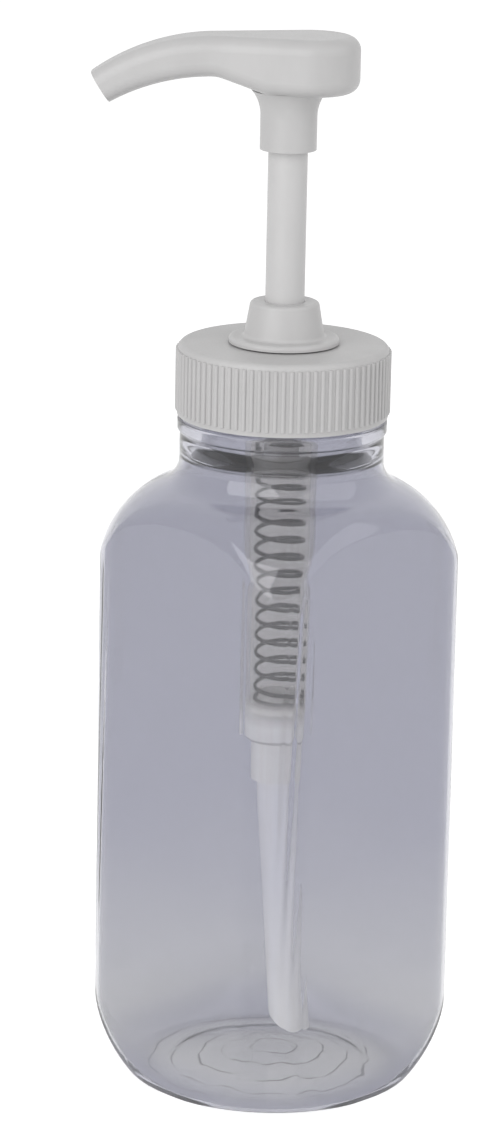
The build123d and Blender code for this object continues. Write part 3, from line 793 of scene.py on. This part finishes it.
def spring_tree():
    """A node tree that winds a wire, left-handed, with closed turns at both ends."""
    tree = bpy.data.node_groups.new("wound_spring", "GeometryNodeTree")
    face = tree.interface
    for name in ("Wire", "Radius", "Turns", "End Turns", "End Pitch", "Bottom", "Top"):
        face.new_socket(name, in_out="INPUT", socket_type="NodeSocketFloat")
    for name in ("Points Per Turn", "Sides"):
        face.new_socket(name, in_out="INPUT", socket_type="NodeSocketInt")
    face.new_socket("Material", in_out="INPUT", socket_type="NodeSocketMaterial")
    face.new_socket("Geometry", in_out="OUTPUT", socket_type="NodeSocketGeometry")
    given = add(tree, "NodeGroupInput").outputs
    count = sums(tree, "MULTIPLY", given["Turns"], given["Points Per Turn"])
    line = add(tree, "GeometryNodeCurvePrimitiveLine").outputs[0]
    spread = {"Curve": line, "Count": sums(tree, "ADD", count, 1.0)}
    points = add(tree, "GeometryNodeResampleCurve", spread, mode="COUNT").outputs[0]
    index = add(tree, "GeometryNodeInputIndex").outputs[0]
    turn = sums(tree, "MULTIPLY", sums(tree, "DIVIDE", index, count), given["Turns"])
    angle = sums(tree, "MULTIPLY", turn, -2 * math.pi)
    low = sums(tree, "MINIMUM", turn, given["End Turns"])
    last = sums(tree, "SUBTRACT", given["Turns"], given["End Turns"])
    high = sums(tree, "MAXIMUM", sums(tree, "SUBTRACT", turn, last), 0.0)
    closed = sums(tree, "ADD", low, high)
    both_ends = sums(tree, "MULTIPLY", given["End Turns"], 2.0)
    climb = sums(tree, "SUBTRACT", sums(tree, "SUBTRACT", given["Top"], given["Bottom"]), given["Wire"])
    open_climb = sums(tree, "SUBTRACT", climb, sums(tree, "MULTIPLY", both_ends, given["End Pitch"]))
    pitch = sums(tree, "DIVIDE", open_climb, sums(tree, "SUBTRACT", given["Turns"], both_ends))
    half_wire = sums(tree, "DIVIDE", given["Wire"], 2.0)
    level = sums(tree, "MULTIPLY", closed, given["End Pitch"])
    level = sums(tree, "ADD", level, sums(tree, "MULTIPLY", sums(tree, "SUBTRACT", turn, closed), pitch))
    level = sums(tree, "ADD", level, sums(tree, "ADD", given["Bottom"], half_wire))
    place = add(
        tree,
        "ShaderNodeCombineXYZ",
        {
            "X": sums(tree, "MULTIPLY", given["Radius"], sums(tree, "COSINE", angle)),
            "Y": sums(tree, "MULTIPLY", given["Radius"], sums(tree, "SINE", angle)),
            "Z": level,
        },
    ).outputs[0]
    wound = add(tree, "GeometryNodeSetPosition", {"Geometry": points, "Position": place}).outputs[0]
    section = add(
        tree, "GeometryNodeCurvePrimitiveCircle", {"Resolution": given["Sides"], "Radius": half_wire}
    ).outputs[0]
    wire = add(
        tree, "GeometryNodeCurveToMesh", {"Curve": wound, "Profile Curve": section, "Fill Caps": True}
    ).outputs[0]
    smooth = add(tree, "GeometryNodeSetShadeSmooth", {0: wire}).outputs[0]
    real = add(tree, "GeometryNodeRealizeInstances", {0: smooth}).outputs[0]
    dressed = add(tree, "GeometryNodeSetMaterial", {"Geometry": real, "Material": given["Material"]})
    add(tree, "NodeGroupOutput", {"Geometry": dressed.outputs[0]})
    return tree


def made_by_nodes(name, tree, values):
    """A plain mesh object made by a node tree with these named inputs."""
    piece = new_piece(name, bpy.data.meshes.new(name))
    modifier = piece.modifiers.new(name, "NODES")
    modifier.node_group = tree
    for item in tree.interface.items_tree:
        if item.in_out == "INPUT":
            modifier[item.identifier] = values[item.name]
    graph = bpy.context.evaluated_depsgraph_get()
    mesh = bpy.data.meshes.new_from_object(piece.evaluated_get(graph), depsgraph=graph)
    piece.modifiers.clear()
    piece.data = mesh
    return piece


class SOAP_OT_spring(Operator):
    """Wind the return spring, which in the real pump squeezes as the head goes down"""

    bl_idname = "soap_pump.spring"
    bl_label = "Return spring"

    def execute(self, context):
        sizes = context.scene.soap_spring
        values = {
            "Wire": sizes.wire,
            "Radius": sizes.radius,
            "Turns": sizes.turns,
            "End Turns": sizes.end_turns,
            "End Pitch": sizes.end_pitch,
            "Bottom": spring_low.z,
            "Top": spring_high.z,
            "Points Per Turn": sizes.turn_points,
            "Sides": sizes.sides,
            "Material": drawn_steel(context.scene.soap_finish),
        }
        piece = made_by_nodes("return_spring", spring_tree(), values)
        if not piece.data.polygons:
            raise RuntimeError("the return spring has no faces")
        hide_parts("spring")
        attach(piece, "pump_body")
        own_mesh(piece)
        return {"FINISHED"}


class SOAP_OT_pump_outside(Operator):
    """Dress the closure, the hub, the stem and the head in white plastic"""

    bl_idname = "soap_pump.outside"
    bl_label = "White pump pieces"

    def execute(self, context):
        finish = context.scene.soap_finish
        dress("closure", moulded_plastic("closure_plastic", finish.white, roughness=0.42))
        dress("chaplet", moulded_plastic("hub_plastic", finish.white, roughness=0.36))
        # Painted light: the stem gets a lighter copy of the same white plastic.
        stem_lit_white = shaded(finish.white, STEM_PAINTED_LIGHT)
        dress("stem", moulded_plastic("stem_plastic", stem_lit_white, roughness=0.36))
        dress("actuator", moulded_plastic("head_plastic", finish.white, roughness=0.34))
        return {"FINISHED"}


class SOAP_OT_pump_inside(Operator):
    """Dress the cylinder, the dip tube and the working pieces inside them"""

    bl_idname = "soap_pump.inside"
    bl_label = "Inner pump pieces"

    def execute(self, context):
        finish = context.scene.soap_finish
        clearness = (finish.thick_see_through, THICK_END, THIN_START, finish.see_through)
        dress("housing", milky_plastic("cylinder_plastic", finish.milky, clearness, roughness=0.02))
        clearness = finish.tube_see_through
        dress("dip_tube", milky_plastic("tube_plastic", finish.tube, clearness, roughness=0.22))
        inner = moulded_plastic("inner_plastic", finish.inner, roughness=0.4)
        for node in ("piston", "piston_rod", "ball_cage"):
            dress(node, inner)
        seal = soft_seal(finish)
        for node in ("gasket", "stem_seal"):
            dress(node, seal)
        ball = drawn_steel(finish)
        for node in ("inlet_ball", "outlet_ball"):
            dress(node, ball)
        return {"FINISHED"}


def stage_floor(stage):
    """A pale floor that is white to the eye, but keeps the object's shadow."""
    made, tree, output = material("pale_floor")
    cloud = grain(tree, scale=3.0)
    pale = uneven(tree, cloud, stage.floor, darker=0.99, lighter=1.0)
    lit = add(tree, "ShaderNodeBsdfDiffuse", {"Color": pale})
    glow = add(tree, "ShaderNodeEmission", {"Strength": sums(tree, "MULTIPLY", seen(tree), stage.glow)})
    both = add(tree, "ShaderNodeAddShader", {0: lit.outputs[0], 1: glow.outputs[0]})
    tree.links.new(both.outputs[0], output.inputs["Surface"])
    mesh = bpy.data.meshes.new("floor")
    sides = ((-1, -1), (1, -1), (1, 1), (-1, 1))
    mesh.from_pydata([(x * FLOOR_REACH, y * FLOOR_REACH, -FLOOR_DROP) for x, y in sides], [], [(0, 1, 2, 3)])
    mesh.materials.append(made)
    new_piece("floor", mesh)


def seen(tree):
    """1 for what the eye sees, straight, mirrored or through clear plastic."""
    path = add(tree, "ShaderNodeLightPath").outputs
    straight = sums(tree, "MAXIMUM", path["Is Camera Ray"], path["Is Glossy Ray"])
    return sums(tree, "MAXIMUM", straight, path["Is Transmission Ray"])


def stage_world(stage):
    """Even light all round, and a white background for the eye."""
    world = bpy.data.worlds.new("studio")
    world.use_nodes = True
    tree = world.node_tree
    tree.nodes.clear()
    even = add(tree, "ShaderNodeBackground", {"Color": (1, 1, 1, 1), "Strength": stage.ambient})
    white = add(tree, "ShaderNodeBackground", {"Color": (1, 1, 1, 1), "Strength": 1.0})
    both = add(tree, "ShaderNodeMixShader", {0: seen(tree), 1: even.outputs[0], 2: white.outputs[0]})
    add(tree, "ShaderNodeOutputWorld", {"Surface": both.outputs[0]})
    bpy.context.scene.world = world


def stage_lamp(name, place, size, power):
    """A soft square lamp that points at the middle of the object."""
    data = bpy.data.lights.new(name, "AREA")
    data.energy = power
    data.size = size
    lamp = bpy.data.objects.new(name, data)
    lamp.location = place
    lamp.rotation_euler = (Vector(LAMP_AIM) - Vector(place)).to_track_quat("-Z", "Y").to_euler()
    bpy.context.scene.collection.objects.link(lamp)


def stage_camera():
    """A long lens in front of a corner of the bottle, looking down a little."""
    pitch, roll = math.radians(CAMERA_PITCH), math.radians(CAMERA_ROLL)
    ahead = Vector((0, math.cos(pitch), -math.sin(pitch)))
    level_up = Vector((0, math.sin(pitch), math.cos(pitch)))
    level_right = Vector((1, 0, 0))
    right = math.cos(roll) * level_right + math.sin(roll) * level_up
    up = math.cos(roll) * level_up - math.sin(roll) * level_right
    data = bpy.data.cameras.new("camera")
    data.sensor_fit = "VERTICAL"
    data.sensor_height = SENSOR_HEIGHT
    data.lens = SENSOR_HEIGHT * FOCAL_PIXELS / PICTURE_HEIGHT
    data.clip_start = NEAR_CLIP
    camera = bpy.data.objects.new("camera", data)
    place = Matrix((right, up, -ahead)).transposed().to_4x4()
    place.translation = CAMERA_PLACE
    camera.matrix_world = place
    bpy.context.scene.collection.objects.link(camera)
    bpy.context.scene.camera = camera


class SOAP_OT_stage(Operator):
    """Set the floor, the lamps, the background and the camera"""

    bl_idname = "soap_pump.stage"
    bl_label = "Stage"

    def execute(self, context):
        stage = context.scene.soap_stage
        context.scene.view_settings.view_transform = "Standard"
        stage_floor(stage)
        stage_world(stage)
        stage_lamp("key", KEY_PLACE, stage.lamp_size, stage.key)
        stage_lamp("fill", FILL_PLACE, stage.lamp_size, stage.fill)
        stage_camera()
        return {"FINISHED"}


class SOAP_PT_panel(Panel):
    """Sizes, colours and steps of the dispenser"""

    bl_idname = "SOAP_PT_panel"
    bl_label = "Soap pump"
    bl_space_type = "VIEW_3D"
    bl_region_type = "UI"
    bl_category = "Soap pump"

    def draw(self, context):
        for step in STEPS:
            self.layout.operator(step.bl_idname)
        for group in SETTINGS:
            box = self.layout.box()
            for name in SETTINGS[group].__annotations__:
                box.prop(getattr(context.scene, group), name)


STEPS = (SOAP_OT_bottle, SOAP_OT_spring, SOAP_OT_pump_outside, SOAP_OT_pump_inside, SOAP_OT_stage)
SETTINGS = {
    "soap_bottle": SOAP_PG_bottle,
    "soap_spring": SOAP_PG_spring,
    "soap_finish": SOAP_PG_finish,
    "soap_stage": SOAP_PG_stage,
}
CLASSES = (*SETTINGS.values(), *STEPS, SOAP_PT_panel)


def register():
    """Add the settings, the operators and the panel."""
    for each in CLASSES:
        bpy.utils.register_class(each)
    for name, group in SETTINGS.items():
        setattr(bpy.types.Scene, name, PointerProperty(type=group))


def unregister():
    """Take them away again."""
    for name in SETTINGS:
        delattr(bpy.types.Scene, name)
    for each in reversed(CLASSES):
        bpy.utils.unregister_class(each)


def main():
    """Make the whole object and its stage."""
    register()
    bpy.ops.soap_pump.bottle()
    bpy.ops.soap_pump.spring()
    bpy.ops.soap_pump.outside()
    bpy.ops.soap_pump.inside()
    bpy.ops.soap_pump.stage()


if __name__ == "__main__":
    main()
